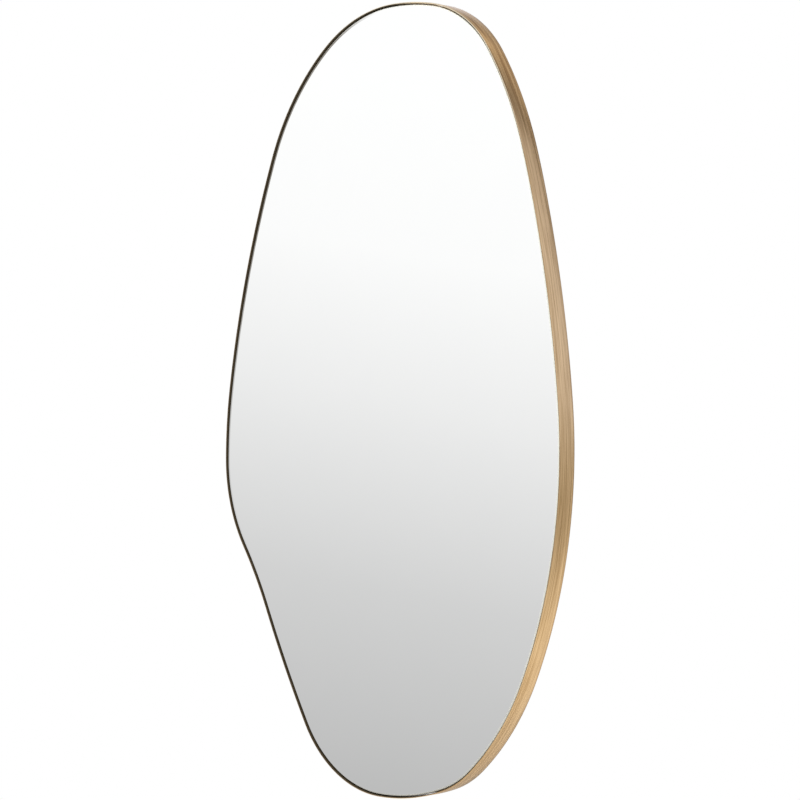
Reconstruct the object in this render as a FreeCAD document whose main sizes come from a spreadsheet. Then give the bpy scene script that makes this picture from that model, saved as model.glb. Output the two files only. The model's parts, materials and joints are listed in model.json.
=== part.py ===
import FreeCAD, Part
import math
import os
import Sketcher
from FreeCAD import Placement, Rotation, Vector

# Wall mirror of free outline, in millimetres.
# X runs to the right seen from the front, Z runs up, and the front faces -Y.
# The origin lies on the wall plane, the plane of the band's rear rim, midway across and midway up.

SIZES = {
    # Whole mirror
    "overall_width": 600,
    "overall_height": 1000,
    # Band: a strip bent on edge to the outline
    "frame_depth": 26,
    "frame_wall": 1.6,
    "frame_edge_break": 0.4,
    # Glass, set below the front rim of the band
    "glass_thickness": 5,
    "glass_recess": 1.5,
    "glass_clearance": 1.6,
    "glass_arris": 1.4,
    # Foam tape between the glass and the board
    "tape_thickness": 1.5,
    "tape_width": 25,
    # Board behind the glass
    "board_thickness": 9,
    "board_clearance": 0.8,
    # Steel plate of the tabs and of the hanger straps
    "plate_thickness": 1.5,
    # Bent tabs that hold the board in the band
    "tab_width": 18,
    "tab_reach": 20,
    "tab_bend_radius": 1,
    "tab_corner_cut": 3,
    "tab_rim_gap": 2,
    "tab_weld_gap": 0.05,
    # Strap hangers
    "strap_width": 14,
    "strap_length": 42,
    "strap_first_hole": 12,
    "strap_hole_pitch": 20,
    # D-rings of round wire
    "ring_wire_radius": 1.5,
    "ring_pin_clearance": 0.05,
    "ring_side_gap": 1.5,
    "ring_leg": 9,
    "ring_bend_radius": 2.5,
    "ring_butt_gap": 0.4,
    "ring_rest_gap": 0.1,
    # Pan-head wood screws, one size throughout
    "screw_shank_radius": 1.6,
    "screw_head_radius": 3.4,
    "screw_head_height": 2.2,
    "screw_tip_margin": 1,
    "screw_hole_clearance": 0.4,
    "screw_pilot_clearance": 0.1,
}

# The outline passes nine key points, anticlockwise from the lowest, and each pair of neighbours is
# joined by two tangent arcs. A row holds the point's x as a share of half the width, its z as a
# share of half the height, the heading there and the heading where the next two arcs meet. Headings
# are shares of a full turn on an outline as wide as it is high.
outline_shares = {
    "bottom": (-0.0133, -1, 0, 0.0352),
    "heel": (0.5106, -0.9052, 0.0773, 0.1483),
    "right": (1, -0.1126, 0.25, 0.2731),
    "brow": (0.8434, 0.5237, 0.3137, 0.3246),
    "crown": (0.6241, 0.8488, 0.3787, 0.4803),
    "top": (0.0651, 1, 0.5, 0.5686),
    "shoulder": (-0.6826, 0.6516, 0.6542, 0.7077),
    "left": (-1, -0.1577, 0.75, 0.8851),
    "waist": (-0.7278, -0.5513, 0.8555, 0.8741),
}

# Tabs: the key point whose pair of arcs carries the tab, which arc of the pair, and how far along it.
tab_shares = {
    "tab_foot_right": ("heel", 0, 0.12),
    "tab_right_low": ("heel", 1, 0.58),
    "tab_right_high": ("right", 1, 0.76),
    "tab_crown_right": ("crown", 0, 0.58),
    "tab_crown_left": ("top", 1, 0.1),
    "tab_shoulder": ("shoulder", 0, 0.5),
    "tab_bulge": ("left", 0, 0.34),
    "tab_foot_left": ("waist", 1, 0.28),
}

# Tape strips: centre as a share of half the width, lower and upper end as shares of half the height.
tape_shares = {
    "tape_far_left": (-0.6, -0.52, 0.6),
    "tape_mid_left": (-0.2, -0.86, 0.88),
    "tape_mid_right": (0.22, -0.88, 0.9),
    "tape_far_right": (0.62, -0.7, 0.74),
}

# Hangers: the side that each is on, and the pair's place, level with each other and centred on the
# mirror's weight so that it hangs straight.
side_shares = {"left": -1, "right": 1}
PLACE_SHARES = {
    "hanger_middle_share": 0.04,
    "hanger_spread_share": 0.54,
    "hanger_height_share": 0.5,
    "barrel_turn_share": 0.8,
}

# A ring's wire is bent in short straight runs: how many in its bow and in each corner
bow_run_count = 8
corner_run_count = 2

os.makedirs("parts", exist_ok=True)
doc = FreeCAD.newDocument("wall_mirror")

# Spreadsheet of the driving dimensions
sheet = doc.addObject("Spreadsheet::Sheet", "Sizes")
cells = dict(SIZES)
cells.update(PLACE_SHARES)
for key, row_shares in outline_shares.items():
    for column, value in zip(("x", "z", "heading", "meeting"), row_shares):
        cells[f"{key}_{column}_share"] = value
for key, row_shares in tape_shares.items():
    for column, value in zip(("x", "low", "high"), row_shares):
        cells[f"{key}_{column}_share"] = value
for row, (alias, value) in enumerate(cells.items(), start=1):
    sheet.set(f"A{row}", alias)
    sheet.set(f"B{row}", str(value))
    sheet.setAlias(f"B{row}", alias)
doc.recompute()


def size(expression):
    """The number that an expression on the sheet's cells gives."""
    return float(sheet.evalExpression(expression))


# Expressions that more than one piece uses
HALF_WIDTH = "Sizes.overall_width / 2"
HALF_HEIGHT = "Sizes.overall_height / 2"
GLASS_BACK = "(Sizes.frame_depth - Sizes.glass_recess - Sizes.glass_thickness)"
TAPE_BACK = f"({GLASS_BACK} - Sizes.tape_thickness)"
BOARD_BACK = f"({TAPE_BACK} - Sizes.board_thickness)"
GLASS_INSET = "Sizes.frame_wall + Sizes.glass_clearance"
BOARD_INSET = "Sizes.frame_wall + Sizes.board_clearance"
BARREL_BORE = "(Sizes.ring_wire_radius + Sizes.ring_pin_clearance)"
BARREL_RADIUS = f"({BARREL_BORE} + Sizes.plate_thickness)"
RING_HALF_SPAN = "(Sizes.strap_width / 2 + Sizes.ring_side_gap + Sizes.ring_wire_radius)"
RING_REACH = f"(Sizes.ring_leg + {RING_HALF_SPAN})"
SCREW_LENGTH = "(Sizes.plate_thickness + Sizes.board_thickness - Sizes.screw_tip_margin)"
SCREW_HOLE = "(Sizes.screw_shank_radius + Sizes.screw_hole_clearance)"
TAB_HOLE_PLACE = "(Sizes.tab_reach - Sizes.tab_width / 2)"

# Ends and centre of an arc in a sketch, and the sketch's own origin
START, END, CENTRE = range(1, 4)
ORIGIN = (-1, 1)

# Edges closer to a plane than this lie in it
SAME_PLANE = 1e-6


# Outline of tangent arcs
class Arc:
    """One arc of the outline: its radius is negative where the outline is hollow."""

    def __init__(self, start, radius, heading, last_heading):
        self.radius = radius
        self.heading = heading
        self.last_heading = last_heading
        self.centre = start + left_of(heading) * radius

    def at(self, heading):
        return self.centre - left_of(heading) * self.radius

    def inset(self, distance):
        return Arc(self.at(self.heading) + left_of(self.heading) * distance,
                   self.radius - distance, self.heading, self.last_heading)

    def first_end(self):
        return START if self.radius > 0 else END

    def last_end(self):
        return END if self.radius > 0 else START

    def geometry(self):
        side = math.pi / 2 if self.radius > 0 else -math.pi / 2
        turns = sorted((self.heading - side, self.last_heading - side))
        circle = Part.Circle(self.centre, Vector(0, 0, 1), abs(self.radius))
        return Part.ArcOfCircle(circle, *turns)


def left_of(heading):
    return Vector(-math.sin(heading), math.cos(heading), 0)


def real_heading(share):
    """The heading in radians on the outline at its real proportions."""
    turn = 2 * math.pi * share
    across = size("Sizes.overall_width") * math.cos(turn)
    up = size("Sizes.overall_height") * math.sin(turn)
    return math.atan2(up, across) % (2 * math.pi)


def chord(heading, last_heading):
    """From start to end of an arc of radius 1."""
    return Vector(math.sin(last_heading) - math.sin(heading),
                  math.cos(heading) - math.cos(last_heading), 0)


def outline_arcs():
    """The arcs of the outer outline in sketch coordinates, two from each key point to the next."""
    rows = list(outline_shares.values())
    arcs = []
    for here, there in zip(rows, rows[1:] + rows[:1]):
        start = Vector(here[0] * size(HALF_WIDTH), here[1] * size(HALF_HEIGHT), 0)
        stop = Vector(there[0] * size(HALF_WIDTH), there[1] * size(HALF_HEIGHT), 0)
        first = real_heading(here[2])
        meeting = real_heading(here[3])
        last = real_heading(there[2]) or 2 * math.pi
        one, two, whole = chord(first, meeting), chord(meeting, last), stop - start
        area = one.x * two.y - one.y * two.x
        radius_one = (whole.x * two.y - whole.y * two.x) / area
        radius_two = (one.x * whole.y - one.y * whole.x) / area
        arcs.append(Arc(start, radius_one, first, meeting))
        arcs.append(Arc(start + one * radius_one, radius_two, meeting, last))
    return arcs


outline = outline_arcs()


# Sketch helpers
def new_body(label):
    body = doc.addObject("PartDesign::Body", label)
    body.Label = label
    return body


def new_sketch(body, name, role, away="0"):
    """A sketch on one of the body's own planes, moved along its normal."""
    planes = body.Origin.OriginFeatures
    sketch = body.newObject("Sketcher::SketchObject", f"{body.Label}_{name}")
    sketch.AttachmentSupport = [(next(p for p in planes if p.Role == role), "")]
    sketch.MapMode = "FlatFace"
    sketch.setExpression("AttachmentOffset.Base.z", away)
    return sketch


def dimension(sketch, kind, places, expression):
    """A dimension on the sketch, bound to an expression on the sheet's cells."""
    value = size(expression)
    if kind == "Angle":
        value = math.radians(value)
    index = sketch.addConstraint(Sketcher.Constraint(kind, *places, value))
    sketch.setExpression(f"Constraints[{index}]", expression)


def point_at(sketch, place, across, up):
    """Fix a point of the sketch by its distances from the sketch's origin."""
    dimension(sketch, "DistanceX", (*ORIGIN, *place), across)
    dimension(sketch, "DistanceY", (*ORIGIN, *place), up)


def circle_at(sketch, across, up, radius):
    centre = Vector(size(across), size(up), 0)
    index = sketch.addGeometry(Part.Circle(centre, Vector(0, 0, 1), size(radius)), False)
    point_at(sketch, (index, CENTRE), across, up)
    dimension(sketch, "Radius", (index,), radius)


def polyline(sketch, corners):
    """Straight lines from each corner, given as a pair of expressions, to the next."""
    points = [Vector(size(across), size(up), 0) for across, up in corners]
    first = sketch.GeometryCount
    for k in range(len(points) - 1):
        sketch.addGeometry(Part.LineSegment(points[k], points[k + 1]), False)
        point_at(sketch, (first + k, START), *corners[k])
        if k > 0:
            sketch.addConstraint(Sketcher.Constraint("Coincident", first + k - 1, END, first + k, START))
    return first, sketch.GeometryCount - 1


def polygon(sketch, corners):
    """A closed run of straight lines through corners given as pairs of expressions."""
    first, last = polyline(sketch, corners + corners[:1])
    sketch.addConstraint(Sketcher.Constraint("Coincident", last, END, first, START))


def heading_cell(alias):
    turn = f"Sizes.{alias} * 360 deg"
    return f"atan2(Sizes.overall_height * sin({turn}); Sizes.overall_width * cos({turn}))"


def draw_outline(sketch, inset):
    """The outline, drawn inwards by an expression, with every arc and key point held."""
    arcs = [arc.inset(size(inset)) for arc in outline]
    first = sketch.GeometryCount
    count = len(arcs)
    for arc in arcs:
        sketch.addGeometry(arc.geometry(), False)
    for k, arc in enumerate(arcs):
        after = (k + 1) % count
        ends = (first + k, arc.last_end(), first + after, arcs[after].first_end())
        sketch.addConstraint(Sketcher.Constraint("Tangent", *ends))
    keys = list(outline_shares)
    for k, key in enumerate(keys):
        one, two = first + 2 * k, first + 2 * k + 1
        here = (one, arcs[2 * k].first_end())
        heading = heading_cell(f"{key}_heading_share")
        meeting = heading_cell(f"{key}_meeting_share")
        across = f"{HALF_WIDTH} * Sizes.{key}_x_share - ({inset}) * sin({heading})"
        up = f"{HALF_HEIGHT} * Sizes.{key}_z_share + ({inset}) * cos({heading})"
        point_at(sketch, here, across, up)
        dimension(sketch, "Angle", (one,), arc_turn(arcs[2 * k], heading, meeting))
        if key in ("bottom", "top"):
            sketch.addConstraint(Sketcher.Constraint("Vertical", one, CENTRE, *here))
        elif key in ("left", "right"):
            sketch.addConstraint(Sketcher.Constraint("Horizontal", one, CENTRE, *here))
        else:
            before = first + 2 * k - 1
            came_from = heading_cell(f"{keys[k - 1]}_meeting_share")
            dimension(sketch, "Angle", (before,), arc_turn(arcs[2 * k - 1], came_from, heading))


def arc_turn(arc, heading, last_heading):
    """The angle that an arc spans, as an expression that is always positive."""
    turn = f"({last_heading}) - ({heading})"
    if arc.radius < 0:
        turn = f"({heading}) - ({last_heading})"
    return f"mod({turn} + 720 deg; 360 deg)"


def pad(body, sketch, length, symmetric=False):
    feature = body.newObject("PartDesign::Pad", f"{sketch.Name}_pad")
    feature.Profile = sketch
    feature.setExpression("Length", length)
    if symmetric:
        feature.SideType = "Symmetric"
    doc.recompute()
    return feature


def pocket(body, sketch, depth, reverse=False):
    """Cut a sketch into the body, and make sure that it cuts."""
    before = body.Shape.Volume
    feature = body.newObject("PartDesign::Pocket", f"{sketch.Name}_cut")
    feature.Profile = sketch
    feature.Reversed = reverse
    feature.setExpression("Length", depth)
    doc.recompute()
    if body.Shape.Volume >= before:
        raise RuntimeError(f"{feature.Name} cuts nothing")
    return feature


def edges_at(body, along_y):
    """Names of the edges that lie whole in the plane at this Y."""
    names = []
    for k, edge in enumerate(body.Shape.Edges, start=1):
        box = edge.BoundBox
        if max(abs(box.YMin - along_y), abs(box.YMax - along_y)) < SAME_PLANE:
            names.append(f"Edge{k}")
    return names


# Band
def frame_band():
    body = new_body("frame_band")
    sketch = new_sketch(body, "section", "XZ_Plane")
    draw_outline(sketch, "0")
    draw_outline(sketch, "Sizes.frame_wall")
    strip = pad(body, sketch, "Sizes.frame_depth")
    edge_break = body.newObject("PartDesign::Chamfer", "front_rim_break")
    edge_break.Base = (strip, edges_at(body, -size("Sizes.frame_depth")))
    edge_break.setExpression("Size", "Sizes.frame_edge_break")
    return body


# Glass with a polished arris round its front
def mirror_glass():
    body = new_body("mirror_glass")
    sketch = new_sketch(body, "outline", "XZ_Plane", GLASS_BACK)
    draw_outline(sketch, GLASS_INSET)
    sheet_glass = pad(body, sketch, "Sizes.glass_thickness")
    arris = body.newObject("PartDesign::Chamfer", "front_arris")
    arris.Base = (sheet_glass, edges_at(body, size("Sizes.glass_recess - Sizes.frame_depth")))
    arris.setExpression("Size", "Sizes.glass_arris")
    return body


# Strips of foam tape, upright between the board and the glass
def tape_strip(label):
    strip = doc.addObject("Part::Box", label)
    strip.Label = label
    middle = f"{HALF_WIDTH} * Sizes.{label}_x_share"
    low = f"{HALF_HEIGHT} * Sizes.{label}_low_share"
    high = f"{HALF_HEIGHT} * Sizes.{label}_high_share"
    strip.setExpression("Length", "Sizes.tape_width")
    strip.setExpression("Width", "Sizes.tape_thickness")
    strip.setExpression("Height", f"({high}) - ({low})")
    strip.setExpression("Placement.Base.x", f"{middle} - Sizes.tape_width / 2")
    strip.setExpression("Placement.Base.y", f"-{GLASS_BACK}")
    strip.setExpression("Placement.Base.z", low)
    return strip


# Places of the tabs and of the screws
def tab_placement(label):
    """Against the inside of the band: local Z points inwards, local X along the band."""
    key, which, along_share = tab_shares[label]
    arc = outline[2 * list(outline_shares).index(key) + which]
    heading = arc.heading + (arc.last_heading - arc.heading) * along_share
    inner_radius = arc.radius - size("Sizes.frame_wall")
    bow = inner_radius - math.sqrt(inner_radius ** 2 - size("Sizes.tab_width / 2") ** 2)
    inwards = left_of(heading)
    place = arc.at(heading) + inwards * (size("Sizes.frame_wall + Sizes.tab_weld_gap") + bow)
    lean = math.degrees(math.atan2(inwards.x, inwards.y))
    return Placement(Vector(place.x, 0, place.y), Rotation(Vector(0, 1, 0), lean))


def tab_screw_place(label):
    plate_face = size(f"Sizes.plate_thickness - {BOARD_BACK}")
    return tab_placement(label).multVec(Vector(0, plate_face, size(TAB_HOLE_PLACE)))


def hanger_place(side):
    """The axis of a hanger's barrel, at the middle of its width."""
    across = f"{HALF_WIDTH} * (Sizes.hanger_middle_share + ({side}) * Sizes.hanger_spread_share)"
    up = f"{HALF_HEIGHT} * Sizes.hanger_height_share"
    return Vector(size(across), size(f"{BARREL_RADIUS} - {BOARD_BACK}"), size(up))


def strap_holes():
    """Distances of the strap's holes below the barrel's axis."""
    return ("Sizes.strap_first_hole", "(Sizes.strap_first_hole + Sizes.strap_hole_pitch)")


def hanger_screw_places():
    plate_face = size(f"Sizes.plate_thickness - {BOARD_BACK}")
    places = []
    for side in side_shares.values():
        for below in strap_holes():
            axis = hanger_place(side)
            places.append(Vector(axis.x, plate_face, axis.z - size(below)))
    return places


# Board with a pilot hole for each screw
def backing_board():
    body = new_body("backing_board")
    sketch = new_sketch(body, "outline", "XZ_Plane", BOARD_BACK)
    draw_outline(sketch, BOARD_INSET)
    pad(body, sketch, "Sizes.board_thickness")
    holes = new_sketch(body, "pilot_holes", "XZ_Plane", BOARD_BACK)
    pilot = "Sizes.screw_shank_radius + Sizes.screw_pilot_clearance"
    for place in [tab_screw_place(label) for label in tab_shares] + hanger_screw_places():
        circle_at(holes, str(place.x), str(place.z), pilot)
    depth = f"{SCREW_LENGTH} - Sizes.plate_thickness + Sizes.screw_pilot_clearance"
    pocket(body, holes, depth, reverse=True)
    return body


# Bent tab: one leg on the band, one on the back of the board
def tab(label):
    body = new_body(label)
    profile = new_sketch(body, "profile", "YZ_Plane")
    board = f"-{BOARD_BACK}"
    outer_face = f"Sizes.plate_thickness - {BOARD_BACK}"
    rim = "-Sizes.tab_rim_gap"
    polygon(profile, [
        (board, "0"), (board, "Sizes.tab_reach"), (outer_face, "Sizes.tab_reach"),
        (outer_face, "Sizes.plate_thickness"), (rim, "Sizes.plate_thickness"), (rim, "0"),
    ])
    plate = pad(body, profile, "Sizes.tab_width", symmetric=True)
    inner, outer = bend_edges(body)
    bend = body.newObject("PartDesign::Fillet", f"{label}_inner_bend")
    bend.Base = (plate, [inner])
    bend.setExpression("Radius", "Sizes.tab_bend_radius")
    doc.recompute()
    inner, outer = bend_edges(body)
    outside = body.newObject("PartDesign::Fillet", f"{label}_outer_bend")
    outside.Base = (bend, [outer])
    outside.setExpression("Radius", "Sizes.tab_bend_radius + Sizes.plate_thickness")
    doc.recompute()
    corners = body.newObject("PartDesign::Chamfer", f"{label}_corners")
    corners.Base = (outside, free_corners(body))
    corners.setExpression("Size", "Sizes.tab_corner_cut")
    doc.recompute()
    hole = new_sketch(body, "hole", "XZ_Plane", BOARD_BACK)
    circle_at(hole, "0", TAB_HOLE_PLACE, SCREW_HOLE)
    pocket(body, hole, "Sizes.plate_thickness")
    body.Placement = tab_placement(label)
    return body


def bend_edges(body):
    """Names of the edges along the tab's bend: inside the corner and outside it."""
    board, face = -size(BOARD_BACK), size(f"Sizes.plate_thickness - {BOARD_BACK}")
    inside = Vector(0, face, size("Sizes.plate_thickness"))
    outside = Vector(0, board, 0)
    return edge_through(body, inside), edge_through(body, outside)


def edge_through(body, point):
    vertex = Part.Vertex(point)
    gaps = [edge.distToShape(vertex)[0] for edge in body.Shape.Edges]
    return f"Edge{gaps.index(min(gaps)) + 1}"


def free_corners(body):
    """Names of the two upright edges at the tab's free end."""
    half, reach = size("Sizes.tab_width / 2"), size("Sizes.tab_reach")
    middle = size(f"Sizes.plate_thickness / 2 - {BOARD_BACK}")
    return [edge_through(body, Vector(across, middle, reach)) for across in (-half, half)]


# Strap hanger: a flat strap that rolls into a barrel at its upper end
def hanger_strap(side_name, side):
    body = new_body(f"hanger_strap_{side_name}")
    plan = new_sketch(body, "plan", "XZ_Plane", BARREL_BORE)
    draw_strap(plan)
    pad(body, plan, "Sizes.plate_thickness")
    roll = new_sketch(body, "barrel", "YZ_Plane")
    draw_barrel(roll)
    pad(body, roll, "Sizes.strap_width", symmetric=True)
    body.Placement = Placement(hanger_place(side), Rotation())
    return body


def draw_strap(sketch):
    """The strap seen flat: straight sides, a round lower end and its screw holes."""
    half = size("Sizes.strap_width / 2")
    straight = size("Sizes.strap_length - Sizes.strap_width / 2")
    top_left, top_right = Vector(-half, 0, 0), Vector(half, 0, 0)
    low_left, low_right = Vector(-half, -straight, 0), Vector(half, -straight, 0)
    sketch.addGeometry(Part.LineSegment(low_right, top_right), False)
    sketch.addGeometry(Part.LineSegment(top_right, top_left), False)
    sketch.addGeometry(Part.LineSegment(top_left, low_left), False)
    end = Part.Circle(Vector(0, -straight, 0), Vector(0, 0, 1), half)
    sketch.addGeometry(Part.ArcOfCircle(end, math.pi, 2 * math.pi), False)
    sketch.addConstraint(Sketcher.Constraint("Coincident", 0, END, 1, START))
    sketch.addConstraint(Sketcher.Constraint("Coincident", 1, END, 2, START))
    sketch.addConstraint(Sketcher.Constraint("Tangent", 2, END, 3, START))
    sketch.addConstraint(Sketcher.Constraint("Tangent", 3, END, 0, START))
    sketch.addConstraint(Sketcher.Constraint("Vertical", 0))
    point_at(sketch, (0, END), "Sizes.strap_width / 2", "0")
    point_at(sketch, (1, END), "-Sizes.strap_width / 2", "0")
    below = "Sizes.strap_width / 2 - Sizes.strap_length"
    dimension(sketch, "DistanceY", (*ORIGIN, 3, CENTRE), below)
    for place in strap_holes():
        circle_at(sketch, "0", f"-{place}", SCREW_HOLE)


def draw_barrel(sketch):
    """The rolled end seen along its axis: a band of the plate's thickness round the ring's wire."""
    bore, radius = size(BARREL_BORE), size(BARREL_RADIUS)
    last = math.pi
    first = last - 2 * math.pi * size("Sizes.barrel_turn_share")
    axis, centre = Vector(0, 0, 1), Vector(0, 0, 0)
    inner = sketch.addGeometry(Part.ArcOfCircle(Part.Circle(centre, axis, bore), first, last), False)
    outer = sketch.addGeometry(Part.ArcOfCircle(Part.Circle(centre, axis, radius), first, last), False)
    lip = Part.LineSegment(sketch.getPoint(inner, START), sketch.getPoint(outer, START))
    root = Part.LineSegment(sketch.getPoint(inner, END), sketch.getPoint(outer, END))
    for end, line in ((START, sketch.addGeometry(lip, False)), (END, sketch.addGeometry(root, False))):
        sketch.addConstraint(Sketcher.Constraint("Coincident", inner, end, line, START))
        sketch.addConstraint(Sketcher.Constraint("Coincident", outer, end, line, END))
    for arc, distance in ((inner, BARREL_BORE), (outer, BARREL_RADIUS)):
        sketch.addConstraint(Sketcher.Constraint("Coincident", arc, CENTRE, *ORIGIN))
        dimension(sketch, "Radius", (arc,), distance)
        dimension(sketch, "Angle", (arc,), "Sizes.barrel_turn_share * 360 deg")
    sketch.addConstraint(Sketcher.Constraint("Horizontal", inner, CENTRE, inner, END))


# D-ring: round wire whose ends meet inside the barrel
def hanger_ring(side_name, side):
    body = new_body(f"hanger_ring_{side_name}")
    section = new_sketch(body, "wire", "YZ_Plane", "Sizes.ring_butt_gap / 2")
    circle_at(section, "0", "0", "Sizes.ring_wire_radius")
    path = new_sketch(body, "path", "XZ_Plane")
    draw_ring(path)
    wire = body.newObject("PartDesign::AdditivePipe", f"{body.Label}_pipe")
    wire.Profile = section
    wire.Spine = path
    wire.Transition = "Right corner"
    doc.recompute()
    room = f"{BARREL_RADIUS} - Sizes.ring_wire_radius - Sizes.ring_rest_gap"
    lean = size(f"asin(({room}) / {RING_REACH})")
    body.Placement = Placement(hanger_place(side), Rotation(Vector(1, 0, 0), lean))
    return body


def draw_ring(sketch):
    """The wire's middle line, from the butt joint round to the butt joint."""
    joint = "Sizes.ring_butt_gap / 2"
    bend = "Sizes.ring_bend_radius"
    bend_place = f"({RING_HALF_SPAN} - {bend})"
    corners = [(joint, "0")]
    corners += bent_runs(bend_place, bend, bend, (-90, 0), corner_run_count)
    corners += bent_runs("0", "Sizes.ring_leg", RING_HALF_SPAN, (0, 180), bow_run_count)
    corners += bent_runs(f"-{bend_place}", bend, bend, (180, 270), corner_run_count)
    corners.append((f"-{joint}", "0"))
    first, last = polyline(sketch, corners)
    point_at(sketch, (last, END), *corners[-1])


def bent_runs(across, up, radius, degrees, runs):
    """Corners of short runs along an arc, from one angle to another about its centre."""
    corners = []
    for k in range(runs + 1):
        turn = degrees[0] + (degrees[1] - degrees[0]) * k / runs
        corners.append((f"{across} + {radius} * cos({turn} deg)", f"{up} + {radius} * sin({turn} deg)"))
    return corners


# Pan-head screw along Y: its head starts at the origin and its end lies towards -Y
def screw():
    body = new_body("screw")
    profile = new_sketch(body, "profile", "XY_Plane")
    polygon(profile, [
        ("0", f"-{SCREW_LENGTH}"),
        ("Sizes.screw_shank_radius", f"-{SCREW_LENGTH}"),
        ("Sizes.screw_shank_radius", "0"),
        ("Sizes.screw_head_radius", "0"),
        ("Sizes.screw_head_radius", "Sizes.screw_head_height"),
        ("0", "Sizes.screw_head_height"),
    ])
    turned = body.newObject("PartDesign::Revolution", "turned_screw")
    turned.Profile = profile
    turned.ReferenceAxis = (profile, ["V_Axis"])
    turned.Angle = 360
    doc.recompute()
    return body


def screw_group(label, one_screw, places):
    """Screws of one kind at several places, as one node of separate solids."""
    links = []
    for number, place in enumerate(places, start=1):
        link = doc.addObject("App::Link", f"{label}_{number}")
        link.LinkedObject = one_screw
        link.LinkPlacement = Placement(place, Rotation())
        links.append(link)
    group = doc.addObject("Part::Compound", label)
    group.Label = label
    group.Links = links
    return group


# Assembly
pieces = [frame_band(), mirror_glass(), backing_board()]
pieces += [tape_strip(label) for label in tape_shares]
pieces += [tab(label) for label in tab_shares]
for side_name, side in side_shares.items():
    pieces.append(hanger_strap(side_name, side))
    pieces.append(hanger_ring(side_name, side))
one_screw = screw()
pieces.append(screw_group("tab_screws", one_screw, [tab_screw_place(label) for label in tab_shares]))
pieces.append(screw_group("hanger_screws", one_screw, hanger_screw_places()))
doc.recompute()

# Every object has to be sound before anything is written
for thing in doc.Objects:
    if "Invalid" in thing.State or "Error" in thing.State:
        raise RuntimeError(f"{thing.Label} failed: {thing.State}")
for piece in pieces:
    if piece.Shape.isNull() or not piece.Shape.isValid():
        raise RuntimeError(f"{piece.Label} has no sound shape")
for piece in pieces:
    piece.Shape.exportStep(f"parts/{piece.Label}.step")
    print(piece.Label, len(piece.Shape.Solids), "solids", round(piece.Shape.Volume), "cubic mm")
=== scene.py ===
# %% [markdown]
# # A wall mirror in a brass band
#
# The mirror is a pane of silvered glass of free, lopsided outline. A narrow brass strip is bent on edge
# round it, and a fibreboard back with two D-ring hangers closes it behind. The solids arrive at their
# real size, in metres, with X to the right, Z up and the glass facing -Y. This file gives them their
# surfaces, redraws the few whose curves have to be finer, and lights them for a portrait.

# %% Load the frame
import json
import math
from itertools import accumulate

import bmesh
import bpy
from mathutils import Matrix, Vector


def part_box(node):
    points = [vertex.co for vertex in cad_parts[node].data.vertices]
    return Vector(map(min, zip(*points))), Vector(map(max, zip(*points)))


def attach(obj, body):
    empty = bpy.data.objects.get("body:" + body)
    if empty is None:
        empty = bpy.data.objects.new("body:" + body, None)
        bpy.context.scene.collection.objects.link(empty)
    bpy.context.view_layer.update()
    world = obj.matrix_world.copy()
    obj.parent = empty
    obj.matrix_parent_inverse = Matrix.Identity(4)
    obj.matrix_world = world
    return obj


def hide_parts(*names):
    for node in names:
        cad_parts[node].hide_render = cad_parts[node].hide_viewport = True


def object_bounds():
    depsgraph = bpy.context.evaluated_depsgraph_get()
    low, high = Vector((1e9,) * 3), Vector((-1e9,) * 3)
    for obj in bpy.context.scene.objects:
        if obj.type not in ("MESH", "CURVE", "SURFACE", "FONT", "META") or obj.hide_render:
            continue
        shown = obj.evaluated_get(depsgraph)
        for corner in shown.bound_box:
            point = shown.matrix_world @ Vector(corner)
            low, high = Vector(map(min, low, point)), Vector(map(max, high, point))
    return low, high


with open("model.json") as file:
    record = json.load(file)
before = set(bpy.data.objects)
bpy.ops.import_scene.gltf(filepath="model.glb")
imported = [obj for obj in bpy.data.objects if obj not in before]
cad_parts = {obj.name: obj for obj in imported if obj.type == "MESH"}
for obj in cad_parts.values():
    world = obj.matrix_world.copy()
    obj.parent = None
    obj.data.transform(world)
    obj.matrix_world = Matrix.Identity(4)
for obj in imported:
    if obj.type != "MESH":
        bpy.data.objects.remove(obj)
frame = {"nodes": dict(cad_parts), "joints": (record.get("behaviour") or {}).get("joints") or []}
cad_low, cad_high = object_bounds()
nodes = frame["nodes"]

# %% [markdown]
# ## Shader sums as Python
#
# A finish is a tree of nodes. Wiring a tree by hand takes three lines for each sum, so a small class
# wraps a socket and lets Python's own operators add the Math nodes: `1 - grain * 0.2` makes two of them.
# Every other node comes from one method that sets the node's settings first and its sockets after.

# %% A socket that can be used in sums


def plug(tree, socket, value):
    """Link a wire into a socket, or set the socket's own value."""
    if isinstance(value, Wire):
        tree.links.new(value.socket, socket)
    else:
        socket.default_value = value


def calculate(tree, operation, first, second):
    """Add a Math node for two wires or numbers. Returns its result as a wire."""
    node = tree.nodes.new("ShaderNodeMath")
    node.operation = operation
    plug(tree, node.inputs[0], first)
    plug(tree, node.inputs[1], second)
    return Wire(tree, node.outputs[0])


class Wire:
    """An output of a node, for use in sums with numbers and other wires."""

    def __init__(self, tree, socket):
        self.tree = tree
        self.socket = socket

    def __add__(self, other):
        return calculate(self.tree, "ADD", self, other)

    __radd__ = __add__

    def __sub__(self, other):
        return calculate(self.tree, "SUBTRACT", self, other)

    def __rsub__(self, other):
        return calculate(self.tree, "SUBTRACT", other, self)

    def __mul__(self, other):
        return calculate(self.tree, "MULTIPLY", self, other)

    __rmul__ = __mul__

    def __truediv__(self, other):
        return calculate(self.tree, "DIVIDE", self, other)


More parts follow.
